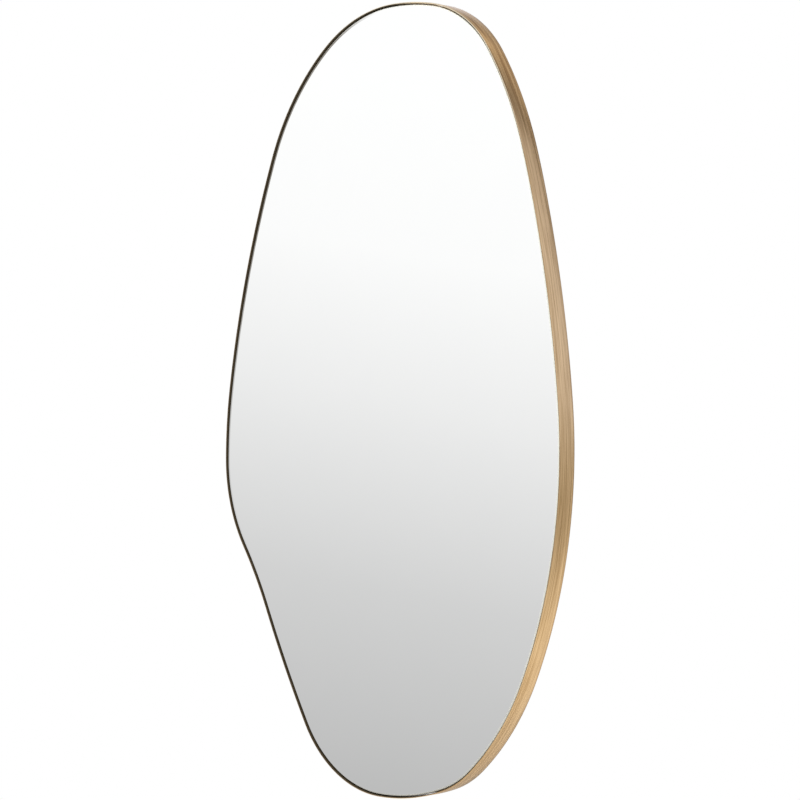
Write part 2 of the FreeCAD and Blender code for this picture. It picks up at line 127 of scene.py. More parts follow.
class Finish:
    """The node tree of a material or of the world, empty at first."""

    def __init__(self, owner):
        owner.use_nodes = True
        self.owner = owner
        self.tree = owner.node_tree
        self.tree.nodes.clear()

    def add(self, kind, settings, sockets):
        """Add a node: its settings come first, then its sockets. Returns its outputs as wires."""
        node = self.tree.nodes.new("ShaderNode" + kind)
        for name, value in settings.items():
            if name == "stops":
                set_stops(node.color_ramp.elements, value)
            else:
                setattr(node, name, value)
        for key, value in sockets.items():
            plug(self.tree, node.inputs[key], value)
        return [Wire(self.tree, output) for output in node.outputs]


def set_stops(elements, stops):
    """Give a colour ramp these stops, each a place from 0 to 1 and a colour."""
    while len(elements) < len(stops):
        elements.new(1)
    for element, (place, colour) in zip(elements, stops):
        element.position = place
        element.color = colour


# %% [markdown]
# A few patterns come back in every finish: a mix of two colours, a noise, a soft step, and a place on
# the surface. Each gets a short function, so a finish reads as what it is made of.

# %% Patterns that the finishes share

# Outputs of a Texture Coordinate node. For the world, the generated one is the direction looked in.
GENERATED, UV, OBJECT = 0, 2, 3


def new_material(name):
    return Finish(bpy.data.materials.new(name))


def colour(red, green, blue):
    return (red, green, blue, 1)


def mix(finish, factor, first, second):
    """Between two colours, which a Mix node has in its inputs 6 and 7 and gives mixed in its output 2."""
    return finish.add("Mix", {"data_type": "RGBA"}, {0: factor, 6: first, 7: second})[2]


def noise(finish, vector, scale, detail=2.0, rough=0.5, twist=0.0):
    sockets = {"Vector": vector, "Scale": scale, "Detail": detail, "Roughness": rough, "Distortion": twist}
    return finish.add("TexNoise", {}, sockets)[0]


def soft_step(finish, value, low, high):
    """0 below low, 1 above high and smooth between."""
    sockets = {"Value": value, "From Min": low, "From Max": high}
    return finish.add("MapRange", {"interpolation_type": "SMOOTHSTEP"}, sockets)[0]


def coordinates(finish, output):
    return finish.add("TexCoord", {}, {})[output]


def place_of(finish):
    """The place on the surface, in metres."""
    return coordinates(finish, OBJECT)


def parts(finish, vector):
    """The three parts of a vector."""
    return finish.add("SeparateXYZ", {}, {0: vector})


def bump(finish, height, strength, depth):
    return finish.add("Bump", {}, {"Height": height, "Strength": strength, "Distance": depth})[0]


def surface(finish, sockets):
    """Close a material: one shader with these sockets. Returns the material."""
    shader = finish.add("BsdfPrincipled", {}, sockets)[0]
    finish.add("OutputMaterial", {}, {"Surface": shader})
    return finish.owner


# %% [markdown]
# ## The outline
#
# Bent strip runs in arcs that flow into each other, so the outline passes nine key points and joins each
# pair of neighbours by two tangent arcs. The same shares shape the solids, and here they are walked in
# steps of a few millimetres, much finer than the facets that the solids come in, because a mirror's
# edge shows every corner.

# %% Arcs of the outline
MM = 0.001
WIDTH, DEPTH, HEIGHT = cad_high - cad_low
STATION_STEP = 3 * MM

# Each row: x as a share of half the width, z as a share of half the height, the heading there and the
# heading where the next two arcs meet, both as shares of a full turn on a square outline.
outline_shares = {
    "bottom": (-0.0133, -1, 0, 0.0352),
    "heel": (0.5106, -0.9052, 0.0773, 0.1483),
    "right": (1, -0.1126, 0.25, 0.2731),
    "brow": (0.8434, 0.5237, 0.3137, 0.3246),
    "crown": (0.6241, 0.8488, 0.3787, 0.4803),
    "top": (0.0651, 1, 0.5, 0.5686),
    "shoulder": (-0.6826, 0.6516, 0.6542, 0.7077),
    "left": (-1, -0.1577, 0.75, 0.8851),
    "waist": (-0.7278, -0.5513, 0.8555, 0.8741),
}


def real_heading(share):
    turn = math.tau * share
    return math.atan2(HEIGHT * math.sin(turn), WIDTH * math.cos(turn)) % math.tau


def chord(first, last):
    """From start to end of an arc of radius 1 between two headings."""
    return Vector((math.sin(last) - math.sin(first), math.cos(first) - math.cos(last)))


def outline_arcs():
    """Each arc as its start, its radius, negative where the outline is hollow, and its two headings."""
    rows = list(outline_shares.values())
    arcs = []
    for here, there in zip(rows, rows[1:] + rows[:1]):
        start = Vector((here[0] * WIDTH / 2, here[1] * HEIGHT / 2))
        stop = Vector((there[0] * WIDTH / 2, there[1] * HEIGHT / 2))
        first, meeting = real_heading(here[2]), real_heading(here[3])
        last = real_heading(there[2]) or math.tau
        one, two = chord(first, meeting), chord(meeting, last)
        radii = Matrix(((one.x, two.x), (one.y, two.y))).inverted() @ (stop - start)
        arcs.append((start, radii[0], first, meeting))
        arcs.append((start + one * radii[0], radii[1], meeting, last))
    return arcs


def walk_outline():
    """Stations round the outline, each a point, its inward direction and the run so far; and the full run."""
    stations, run = [], 0
    for start, radius, first, last in outline_arcs():
        length = radius * (last - first)
        count = math.ceil(length / STATION_STEP)
        for k in range(count):
            heading = first + (last - first) * k / count
            inward = Vector((-math.sin(heading), math.cos(heading)))
            stations.append((start + chord(first, heading) * radius, inward, run + length * k / count))
        run += length
    return stations, run


stations, full_run = walk_outline()
print("outline:", len(stations), "stations in a run of", round(full_run, 3), "m")

# %% [markdown]
# ## Sweeping a section round the outline
#
# The band and the glass are both a section carried round the outline. A curve with a bevel object could
# do it, but would set the section by its own idea of upright. Offsetting each station along its inward
# direction keeps every wall exact. The sweep is drawn lying down, with its depth along the piece's own
# Z, and then stood up: a metal's brushed sheen turns about that axis, and so it follows the strip.

# %% Section sweep


def mesh_of(build, name):
    """Close a finished build into a mesh."""
    mesh = bpy.data.meshes.new(name)
    build.to_mesh(mesh)
    build.free()
    return mesh


def in_scene(name, data):
    """A new object of the scene, with a mesh, camera or lamp as its data."""
    piece = bpy.data.objects.new(name, data)
    bpy.context.scene.collection.objects.link(piece)
    return piece


def rounded(corners):
    """A closed section of (inset, depth, finish) points from square corners with a radius and steps each."""
    points = []
    for k, (inset, depth, radius, steps, finish) in enumerate(corners):
        here = Vector((inset, depth))
        before, after = Vector(corners[k - 1][:2]), Vector(corners[(k + 1) % len(corners)][:2])
        arriving, leaving = (here - before).normalized(), (after - here).normalized()
        centre = here + (leaving - arriving) * radius
        for step in range(steps + 1):
            turn = math.pi / 2 * step / steps
            point = centre + (arriving * math.sin(turn) - leaving * math.cos(turn)) * radius
            points.append((point.x, point.y, finish))
    return points


def swept(name, section, closed):
    """Carry a section round the outline. An open section is closed by a flat face at each end."""
    build = bmesh.new()
    strip = build.loops.layers.uv.new("strip")
    rows = []
    for point, inward, _ in stations:
        rows.append([build.verts.new((*(point + inward * inset), depth)) for inset, depth, _ in section])
    places = [Vector(point[:2]) for point in section + section[:1]]
    across = list(accumulate([(b - a).length for a, b in zip(places, places[1:])], initial=0))
    runs = [run for *_, run in stations] + [full_run]
    for i, row in enumerate(rows):
        following = rows[(i + 1) % len(rows)]
        for j in range(len(section) if closed else len(section) - 1):
            k = (j + 1) % len(section)
            face = build.faces.new((row[j], following[j], following[k], row[k]))
            face.material_index = section[j][2]
            face.smooth = True
            corners = ((runs[i], across[j]), (runs[i + 1], across[j]),
                       (runs[i + 1], across[j + 1]), (runs[i], across[j + 1]))
            for loop, corner in zip(face.loops, corners):
                loop[strip].uv = corner
    if not closed:
        build.faces.new([row[0] for row in reversed(rows)])
        build.faces.new([row[-1] for row in rows])
    return mesh_of(build, name)


def stand_up(mesh, body, *replaced):
    """Stand a lying mesh upright on a body, in place of solids."""
    piece = in_scene(mesh.name, mesh)
    piece.matrix_world = Matrix.Rotation(math.pi / 2, 4, "X")
    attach(piece, body)
    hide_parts(*replaced)
    return piece


# %% [markdown]
# ## Brushed brass
#
# The strip is brushed along its length before it is bent, so its grain is long and thin. One noise,
# stretched along the run, would give streaks of a single width. Three of them, from hairlines to streaks
# a few millimetres wide, look like the many passes of a brush. The grain shifts the colour and the
# roughness and lifts the surface by a few hundredths of a millimetre. Browner marks show where the brush
# bit deeper, towards the tightly bent crown. The same brown is painted shade in the last two millimetres
# at the rear edge, beside the wall. Towards the crown the front rim has a painted highlight. An
# anisotropic sheen spreads light across the grain, as fine scratches do. The inside of the strip is never
# brushed. It is painted nearly black, as painted shade for the recess, except at the crown, right of the
# middle, where it has a patch of painted light.

# %% Brass finishes
BRASS_PALE = colour(0.90, 0.645, 0.365)
BRASS_DEEP = colour(0.48, 0.31, 0.145)
# The brown of the marks, also used as painted shade along the rear edge.
BRASS_MARKS_AND_SHADE = colour(0.36, 0.20, 0.08)
# Colour of the painted highlight on the front rim.
BRASS_HIGHLIGHT = colour(0.98, 0.86, 0.66)
# Width of the painted shade along the rear edge.
SHADED_REAR_EDGE = 2.4 * MM
# Width of the painted highlight at the front edge.
PAINTED_HIGHLIGHT_WIDTH = 1.0 * MM
# Nearly black inside of the strip: painted shade for the recess.
INNER_SHADE_PALE = colour(0.09, 0.066, 0.035)
INNER_SHADE_DEEP = colour(0.042, 0.03, 0.015)
# Painted light on the inside of the strip at the crown.
PAINTED_CROWN_LIGHT = colour(0.80, 0.65, 0.44)

# Where the marks, the painted highlight and the painted light inside set in and where they are full: heights
# above the middle, and places to its right.
MARKS_FROM = (0.25 * HEIGHT, 0.42 * HEIGHT)
HIGHLIGHT_FROM = (0.28 * HEIGHT, 0.42 * HEIGHT)
CROWN_LIGHT_FROM = (0.46 * HEIGHT, 0.49 * HEIGHT)
CROWN_LIGHT_RIGHT = (20 * MM, 70 * MM)


def grain_of(finish, along, across):
    """Streaks that follow the strip: so many to the metre along it and across it."""
    x, y, _ = parts(finish, place_of(finish))
    _, over, _ = parts(finish, coordinates(finish, UV))
    vector = finish.add("CombineXYZ", {}, {0: x * along, 1: over * across, 2: y * along})[0]
    return noise(finish, vector, 1, detail=3)


def brushed_brass():
    finish = new_material("brushed_brass")
    hairs = grain_of(finish, 40, 5000)
    scratches = grain_of(finish, 16, 800)
    streaks = grain_of(finish, 7, 340)
    grain = soft_step(finish, hairs * 0.2 + scratches * 0.4 + streaks * 0.4, 0.36, 0.64)
    _, y, depth = parts(finish, place_of(finish))
    marks = soft_step(finish, grain_of(finish, 9, 210), 0.44, 0.6) * soft_step(finish, y, *MARKS_FROM)
    # Brown marks towards the crown, plus painted shade along the rear edge.
    marks_and_edge_shade = 0.75 * marks + 0.8 * (1 - soft_step(finish, depth, 0, SHADED_REAR_EDGE))
    # A painted highlight on the front rim, towards the crown.
    front = soft_step(finish, depth, DEPTH - PAINTED_HIGHLIGHT_WIDTH, DEPTH - PAINTED_HIGHLIGHT_WIDTH / 2)
    rim = front * soft_step(finish, y, *HIGHLIGHT_FROM)
    side = mix(finish, marks_and_edge_shade, mix(finish, grain, BRASS_DEEP, BRASS_PALE), BRASS_MARKS_AND_SHADE)
    return surface(finish, {
        "Base Color": mix(finish, rim, side, BRASS_HIGHLIGHT),
        "Metallic": 1,
        "Roughness": 0.24 + 0.14 * grain,
        "Anisotropic": 0.7,
        "Anisotropic Rotation": 0.25,
        "Normal": bump(finish, grain, strength=0.2, depth=0.03 * MM),
    })


# The inside of the strip: painted shade, nearly black over faint patches.
def painted_shade_inner_wall():
    finish = new_material("painted_shade_inner_wall")
    patches = grain_of(finish, 30, 300)
    x, y, _ = parts(finish, place_of(finish))
    # Painted light: the inside wall at the crown, right of the middle, shown lit.
    crown_light = soft_step(finish, y, *CROWN_LIGHT_FROM) * soft_step(finish, x, *CROWN_LIGHT_RIGHT)
    return surface(finish, {
        "Base Color": mix(finish, crown_light, mix(finish, patches, INNER_SHADE_DEEP, INNER_SHADE_PALE), PAINTED_CROWN_LIGHT),
        "Metallic": 0.4,
        "Roughness": 0.4 + 0.2 * patches,
        "Normal": bump(finish, patches, strength=0.2, depth=0.05 * MM),
    })


# %% [markdown]
# ## The band
#
# The band is the piece that the eye follows. Its solid has the right walls but coarse facets and a plain
# broken edge, so a finer one stands in for it: the same section with its front edges rounded as a brush
# leaves them, and its rear edges just taken off.

# %% Band
BAND_WALL = 1.6 * MM
FRONT_ROUND = 0.7 * MM
REAR_ROUND = 0.2 * MM
FRONT_STEPS, REAR_STEPS = 5, 2
OUTSIDE, INSIDE = 0, 1

band_section = rounded([
    (0, 0, REAR_ROUND, REAR_STEPS, OUTSIDE),
    (0, DEPTH, FRONT_ROUND, FRONT_STEPS, OUTSIDE),
    (BAND_WALL, DEPTH, FRONT_ROUND, FRONT_STEPS, INSIDE),
    (BAND_WALL, 0, REAR_ROUND, REAR_STEPS, OUTSIDE),
])
band = stand_up(swept("brass_band", band_section, closed=True), "mirror", "frame_band")
band.data.materials.append(brushed_brass())
band.data.materials.append(painted_shade_inner_wall())
print("band:", len(band.data.polygons), "faces")

# %% [markdown]
# ## Silvered glass
#
# A mirror's light comes back from the silver behind the pane, all but whole and without colour. A metal
# with almost no roughness gives that without tracing light through glass, and the faintest wiping marks
# keep it from being perfect. The dark line beside the band is softer along the upper left, so there the
# outermost ring of the silver has a finish of its own, strongest at the upper left: painted shade in
# blotches, standing for the band's dark inner wall reflected in the glass. The arris and the edge of the
# pane are ground, so they scatter light and show as a pale, faintly green line beside the band. The back
# has the grey paint that guards the silver.

# %% Glass finishes
SILVER_PALE = colour(0.985, 0.99, 0.987)
SILVER_DEEP = colour(0.97, 0.976, 0.973)
# Painted shade on the outer ring of the silver.
SILVER_SHADE = colour(0.24, 0.22, 0.19)
EDGE_PALE = colour(0.84, 0.83, 0.76)
EDGE_DEEP = colour(0.76, 0.77, 0.71)
PAINT_PALE = colour(0.34, 0.36, 0.37)
PAINT_DEEP = colour(0.27, 0.285, 0.30)

# Where the painted shade sets in and where it is full: places left of the middle, and heights above it.
SHADE_LEFT = (0, 0.15 * WIDTH)
SHADE_FROM = (-0.3 * HEIGHT, 0.3 * HEIGHT)


def silver():
    finish = new_material("silvered_face")
    wiping = noise(finish, place_of(finish), 7, detail=4, rough=0.6, twist=1.5)
    return surface(finish, {
        "Base Color": mix(finish, wiping, SILVER_DEEP, SILVER_PALE),
        "Metallic": 1,
        "Roughness": 0.004 + 0.012 * wiping,
    })


# Painted shade: the outer ring of the silver, darker towards the upper left.
def silver_painted_shade():
    finish = new_material("silver_painted_shade")
    place = place_of(finish)
    x, y, _ = parts(finish, place)
    blotches = noise(finish, place, 40, detail=3)
    upper_left = soft_step(finish, -1 * x, *SHADE_LEFT) * soft_step(finish, y, *SHADE_FROM)
    painted_shade = upper_left * (0.7 + 0.6 * blotches)
    return surface(finish, {
        "Base Color": mix(finish, painted_shade, SILVER_PALE, SILVER_SHADE),
        "Metallic": 1,
        "Roughness": 0.01 + 0.05 * painted_shade,
    })


def ground_edge():
    finish = new_material("ground_edge")
    waves = noise(finish, place_of(finish), 60, detail=3)
    return surface(finish, {
        "Base Color": mix(finish, waves, EDGE_DEEP, EDGE_PALE),
        "Roughness": 0.22 + 0.2 * waves,
        "IOR": 1.52,
    })


def guard_paint():
    finish = new_material("guard_paint")
    rolled = noise(finish, place_of(finish), 450, detail=3)
    return surface(finish, {
        "Base Color": mix(finish, rolled, PAINT_DEEP, PAINT_PALE),
        "Roughness": 0.55 + 0.2 * rolled,
        "Normal": bump(finish, rolled, strength=0.3, depth=0.05 * MM),
    })


# %% Glass pane
GLASS_GAP = 1.6 * MM
GLASS_ARRIS = 1.4 * MM
# Width of the ring of painted shade round the silver's face.
SHADE_RING_WIDTH = 2.2 * MM
PANE_SHARP = math.radians(30)
SILVER, EDGE, PAINT, SHADE_RING = 0, 1, 2, 3

glass_low, glass_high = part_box("mirror_glass")
glass_inset = BAND_WALL + GLASS_GAP
pane_section = [
    (glass_inset, -glass_high.y, EDGE),
    (glass_inset, -glass_low.y - GLASS_ARRIS, EDGE),
    (glass_inset + GLASS_ARRIS, -glass_low.y, SHADE_RING),
    (glass_inset + GLASS_ARRIS + SHADE_RING_WIDTH, -glass_low.y, SHADE_RING),
]
pane = stand_up(swept("mirror_pane", pane_section, closed=False), "mirror", "mirror_glass")
for finish in (silver(), ground_edge(), guard_paint(), silver_painted_shade()):
    pane.data.materials.append(finish)
back_face, front_face = pane.data.polygons[-2:]
back_face.material_index = PAINT
front_face.material_index = SILVER
pane.data.set_sharp_from_angle(angle=PANE_SHARP)
print("pane:", len(front_face.vertices), "corners round its face, area", round(front_face.area, 4), "m2")

# %% [markdown]
# ## The back: board, tape, tabs and straps
#
# These solids have the right shape, so they stay and only get their finish. Bare fibreboard is a felt of
# fine wood fibres: a fine twisted noise for the felt, a slow one for the cloudy colour, and a few dark
# specks of bark. Zinc and nickel plating mottle faintly. Foam tape is full of tiny cells. Stamped plate
# never has razor edges, so a small bevel softens the tabs and straps. It comes from modifiers, which leave
# the meshes as they are: facets are joined and merged into whole flats first, since a bevel that runs
# over split flats leaves hairline cracks.

# %% Board and tape finishes
FIBRE_PALE = colour(0.50, 0.365, 0.235)
FIBRE_DEEP = colour(0.34, 0.235, 0.14)
BARK = colour(0.16, 0.095, 0.05)
FOAM_PALE = colour(0.86, 0.86, 0.84)
FOAM_DEEP = colour(0.62, 0.62, 0.60)


def fibreboard():
    finish = new_material("fibreboard")
    place = place_of(finish)
    felt = noise(finish, place, 650, detail=6, rough=0.7, twist=0.8)
    cloud = noise(finish, place, 12, detail=3)
    specks = soft_step(finish, noise(finish, place, 230, twist=1.0), 0.68, 0.76)
    board = mix(finish, soft_step(finish, felt * 0.7 + cloud * 0.3, 0.35, 0.65), FIBRE_DEEP, FIBRE_PALE)
    return surface(finish, {
        "Base Color": mix(finish, specks * 0.7, board, BARK),
        "Roughness": 0.72 + 0.2 * felt,
        "Normal": bump(finish, felt, strength=0.35, depth=0.1 * MM),
    })


def foam_tape():
    finish = new_material("foam_tape")
    cells = finish.add("TexVoronoi", {}, {"Vector": place_of(finish), "Scale": 1400})[0]
    return surface(finish, {
        "Base Color": mix(finish, cells, FOAM_DEEP, FOAM_PALE),
        "Roughness": 0.95 - 0.1 * cells,
        "Normal": bump(finish, cells, strength=0.4, depth=0.1 * MM),
    })


# %% Plated finishes


def plated(name, deep, pale, roughness, spread, grain_scale):
    """A plated metal: mottled a little in colour, more in roughness."""
    finish = new_material(name)
    place = place_of(finish)
    mottle = noise(finish, place, grain_scale, detail=4, rough=0.6)
    cloud = noise(finish, place, 35)
    tone = soft_step(finish, mottle * 0.6 + cloud * 0.4, 0.3, 0.7)
    return surface(finish, {
        "Base Color": mix(finish, tone, deep, pale),
        "Metallic": 1,
        "Roughness": roughness + spread * mottle,
        "Normal": bump(finish, mottle, strength=0.15, depth=0.03 * MM),
    })


zinc_plate = plated("zinc_plate", deep=colour(0.52, 0.545, 0.58), pale=colour(0.74, 0.745, 0.74),
                    roughness=0.26, spread=0.2, grain_scale=520)
zinc_screw = plated("zinc_screw", deep=colour(0.50, 0.52, 0.55), pale=colour(0.72, 0.725, 0.73),
                    roughness=0.22, spread=0.18, grain_scale=800)
nickel_wire = plated("nickel_wire", deep=colour(0.60, 0.59, 0.57), pale=colour(0.76, 0.75, 0.73),
                     roughness=0.12, spread=0.14, grain_scale=700)
plated_tab = plated("plated_tab", deep=colour(0.52, 0.39, 0.22), pale=colour(0.72, 0.56, 0.345),
                    roughness=0.28, spread=0.18, grain_scale=480)

# %% Dress the solids that stay
PLATE_BEVEL = 0.2 * MM
BEVEL_STEPS = 2
WELD_REACH = 0.001 * MM
FLAT_LIMIT = math.radians(1)
EDGE_LIMIT = math.radians(40)


def dress(node, finish, bevel=0):
    """Give a solid its finish, and soft edges if it has a bevel."""
    piece = nodes[node]
    piece.data.materials.clear()
    piece.data.materials.append(finish)
    if bevel:
        weld = piece.modifiers.new("weld", "WELD")
        weld.merge_threshold = WELD_REACH
        flats = piece.modifiers.new("whole_flats", "DECIMATE")
        flats.decimate_type = "DISSOLVE"
        flats.angle_limit = FLAT_LIMIT
        edges = piece.modifiers.new("soft_edges", "BEVEL")
        edges.width = bevel
        edges.segments = BEVEL_STEPS
        edges.limit_method = "ANGLE"
        edges.angle_limit = EDGE_LIMIT
        edges.harden_normals = True


dress("backing_board", fibreboard())
foam = foam_tape()
for node in nodes:
    if node.startswith("tape_"):
        dress(node, foam)
    elif node.startswith("tab_") and node != "tab_screws":
        dress(node, plated_tab, PLATE_BEVEL)
    elif node.startswith("hanger_strap"):
        dress(node, zinc_plate, PLATE_BEVEL)

# %% [markdown]
# ## Pan-head screws
#
# The solids have plain pegs where the screws go. A real one is a domed head with a cross recess over a
# threaded shank. A turned profile makes all but the recess; the thread is the same turning with a radius
# that climbs with the angle, and two tapered wedges cut the recess. Every screw stops at its own angle.

# %% One screw
HEAD_RADIUS = 3.4 * MM
HEAD_HEIGHT = 2.2 * MM
HEAD_EDGE = 0.7 * MM
SHANK_LENGTH = 9.5 * MM
POINT_LENGTH = 2.6 * MM
CREST_RADIUS = 1.6 * MM
ROOT_RADIUS = 1.15 * MM
THREAD_PITCH = 1.3 * MM
RIDGE_SHARE = 0.5  # of the pitch
TURN_STEPS = 32
THREAD_STEPS = 6
DOME_STEPS = 6


def thread_radius(height, turn):
    """The shank's radius at a height below the head: a ridge that climbs one pitch in a turn."""
    climb = (height / THREAD_PITCH + turn) % 1
    ridge = max(0, 1 - abs(climb - 0.5) / (RIDGE_SHARE / 2))
    taper = min(1, (SHANK_LENGTH + height) / POINT_LENGTH)
    return taper * (ROOT_RADIUS + (CREST_RADIUS - ROOT_RADIUS) * ridge)


def screw_rows():
    """Heights from point to crown, each with its radius as a function of the turn."""
    rows = []
    count = math.ceil((SHANK_LENGTH / THREAD_PITCH) * THREAD_STEPS)
    for k in range(1, count):
        height = SHANK_LENGTH * (k / count - 1)
        rows.append((height, lambda turn, height=height: thread_radius(height, turn)))
    rows.append((0, lambda turn: ROOT_RADIUS))
    rows.append((0, lambda turn: HEAD_RADIUS))
    for k in range(DOME_STEPS):
        rise = math.pi / 2 * k / DOME_STEPS
        height = HEAD_EDGE + (HEAD_HEIGHT - HEAD_EDGE) * math.sin(rise)
        rows.append((height, lambda turn, rise=rise: HEAD_RADIUS * math.cos(rise)))
    return rows


def turned_screw():
    """A screw along Y, its head towards +Y, without its recess."""
    build = bmesh.new()
    point = build.verts.new((0, -SHANK_LENGTH, 0))
    crown = build.verts.new((0, HEAD_HEIGHT, 0))
    turns = [k / TURN_STEPS for k in range(TURN_STEPS)]
    rings = []
    for height, radius in screw_rows():
        ring = []
        for turn in turns:
            angle = math.tau * turn
            reach = radius(turn)
            ring.append(build.verts.new((reach * math.sin(angle), height, reach * math.cos(angle))))
        rings.append(ring)
    for k in range(TURN_STEPS):
        after = (k + 1) % TURN_STEPS
        build.faces.new((point, rings[0][after], rings[0][k]))
        build.faces.new((crown, rings[-1][k], rings[-1][after]))
        for low, high in zip(rings, rings[1:]):
            build.faces.new((low[k], low[after], high[after], high[k]))
    bmesh.ops.recalc_face_normals(build, faces=build.faces)
    return mesh_of(build, "turned_screw")


# %% [markdown]
# The recess is cut with Boolean modifiers on a throw-away object, and the result is read back as a plain
# mesh, so no modifier is left on the finished piece.

# %% Cross recess
RECESS_DEPTH = 1.5 * MM
recess_top = (3.9 * MM, 0.95 * MM)
recess_floor = (1.3 * MM, 0.6 * MM)


def wedge(turned):
    """A tapered wedge for one arm of the cross."""
    build = bmesh.new()
    for level, (length, breadth) in ((HEAD_HEIGHT - RECESS_DEPTH, recess_floor),
                                     (HEAD_HEIGHT + RECESS_DEPTH, recess_top)):
        for along, over in ((-1, -1), (1, -1), (1, 1), (-1, 1)):
            place = (along * length / 2, over * breadth / 2)
            build.verts.new((place[turned], level, place[1 - turned]))
    bmesh.ops.convex_hull(build, input=build.verts)
    return in_scene("wedge", mesh_of(build, "wedge"))


def cut_screw():
    blank = in_scene("screw_blank", turned_screw())
    wedges = [wedge(turned) for turned in (0, 1)]
    for cutter in wedges:
        cut = blank.modifiers.new(cutter.name, "BOOLEAN")
        cut.operation = "DIFFERENCE"
        cut.solver = "EXACT"
        cut.object = cutter
    mesh = bpy.data.meshes.new_from_object(blank.evaluated_get(bpy.context.evaluated_depsgraph_get()))
    for piece in [blank] + wedges:
        bpy.data.objects.remove(piece)
    return mesh


one_screw = cut_screw()
print("screw:", len(one_screw.polygons), "faces")

# %% [markdown]
# Where the screws go is read from the solids: each loose shell of a screw node is one screw, and the
# highest point of its box along Y is the top of its head.

# %% Screws in their places
# Each screw stops this share of a turn after the one before it.
SCREW_TURN_SHARE = 0.382
SCREW_SHARP = math.radians(35)


def shells_of(node):
    """The boxes of a node's separate solids, each as its lowest and highest corner."""
    build = bmesh.new()
    build.from_mesh(nodes[node].data)
    bmesh.ops.remove_doubles(build, verts=build.verts, dist=WELD_REACH)
    left, boxes = set(build.verts), []
    while left:
        shell, edge = set(), [next(v for v in build.verts if v in left)]
        while edge:
            vert = edge.pop()
            if vert not in shell:
                shell.add(vert)
                edge.extend(e.other_vert(vert) for e in vert.link_edges)
        left -= shell
        places = [v.co for v in shell]
        boxes.append((Vector(map(min, *places)), Vector(map(max, *places))))
    build.free()
    return boxes


def screw_set(name, node):
    """All screws of one node as one piece, each turned to its own angle."""
    build = bmesh.new()
    seats = []
    for k, (low, high) in enumerate(shells_of(node)):
        seat = Vector(((low.x + high.x) / 2, high.y - HEAD_HEIGHT, (low.z + high.z) / 2))
        turn = Matrix.Rotation(math.tau * SCREW_TURN_SHARE * k, 4, "Y")
        first = len(build.verts)
        build.from_mesh(one_screw)
        build.verts.ensure_lookup_table()
        bmesh.ops.transform(build, matrix=Matrix.Translation(seat) @ turn, verts=build.verts[first:])
        seats.append(seat)
    mesh = mesh_of(build, name)
    mesh.shade_smooth()
    mesh.set_sharp_from_angle(angle=SCREW_SHARP)
    mesh.materials.append(zinc_screw)
    piece = in_scene(name, mesh)
    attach(piece, "mirror")
    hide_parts(node)
    return seats


tab_seats = screw_set("tab_pan_screws", "tab_screws")
hanger_seats = screw_set("hanger_pan_screws", "hanger_screws")
print("screws:", len(tab_seats), "in tabs and", len(hanger_seats), "in hangers")

# %% [markdown]
# ## D-rings
#
# Each ring is one length of round wire: it leaves the barrel of its hanger, turns up on both sides and
# closes in a bow. The solid bends in short straight runs. Here the same line is walked in fine steps, and
# a circle is carried along it. The line is flat, so the circle only ever needs two directions: across the
# line in the ring's own plane, and square to that plane. Sizes are read from the ring's box and joint.

# %% Rings
RING_BEND = 2.5 * MM
BUTT_GAP = 0.4 * MM
BEND_STEPS = 10
BOW_STEPS = 40
WIRE_STEPS = 24


def arc_points(centre, radius, first, last, steps):
    """Points on an arc of the ring's line, each with the direction outwards from its centre."""
    points = []
    for k in range(steps + 1):
        turn = math.radians(first + (last - first) * k / steps)
        outwards = Vector((math.cos(turn), math.sin(turn)))
        points.append((centre + outwards * radius, outwards))
    return points


def ring_line(half_span, leg):
    """The wire's middle line from butt to butt, as points and outward directions."""
    down, corner = Vector((0, -1)), Vector((half_span - RING_BEND, RING_BEND))
    line = [(Vector((BUTT_GAP / 2, 0)), down)]
    line += arc_points(corner, RING_BEND, -90, 0, BEND_STEPS)
    line += arc_points(Vector((0, leg)), half_span, 0, 180, BOW_STEPS)
    line += arc_points(Vector((-corner.x, corner.y)), RING_BEND, 180, 270, BEND_STEPS)
    line.append((Vector((-BUTT_GAP / 2, 0)), down))
    return line


def wire_mesh(name, line, radius):
    """Round wire along a flat line in X and Z."""
    build = bmesh.new()
    rings = []
    for point, outwards in line:
        ring = []
        for k in range(WIRE_STEPS):
            turn = math.tau * k / WIRE_STEPS
            place = point + outwards * radius * math.cos(turn)
            ring.append(build.verts.new((place.x, radius * math.sin(turn), place.y)))
        rings.append(ring)
    for near, far in zip(rings, rings[1:]):
        for k in range(WIRE_STEPS):
            after = (k + 1) % WIRE_STEPS
            build.faces.new((near[k], near[after], far[after], far[k])).smooth = True
    build.faces.new(rings[0])
    build.faces.new(rings[-1])
    bmesh.ops.recalc_face_normals(build, faces=build.faces)
    return mesh_of(build, name)


for joint in frame["joints"]:
    body = joint["child"]
    node = f"hanger_{body}"
    pivot = Vector(joint["pos_m"])
    low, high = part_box(node)
    wire_radius = high.y - pivot.y
    half_span = (high.x - low.x) / 2 - wire_radius
    rise, drop = high.z - pivot.z - wire_radius, pivot.y - low.y - wire_radius
    reach, lean = math.hypot(rise, drop), math.atan2(drop, rise)
    line = ring_line(half_span, reach - half_span)
    ring = in_scene(f"d_{body}", wire_mesh(f"d_{body}", line, wire_radius))
    ring.data.materials.append(nickel_wire)
    ring.matrix_world = Matrix.Translation(pivot) @ Matrix.Rotation(lean, 4, "X")
    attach(ring, body)
    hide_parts(node)
    print(ring.name, "wire radius", round(wire_radius / MM, 2), "mm,",
          "leaning", round(math.degrees(lean), 2), "deg")

# %% [markdown]
# ## Camera
#
# The portrait looks at the mirror from 45 degrees to its right, level with its middle, through a long
# lens that keeps its sides almost parallel. The lens is given by its length in pixels on a square picture
# of 800, and the aim is a point just in front of the glass, a little right of the middle.

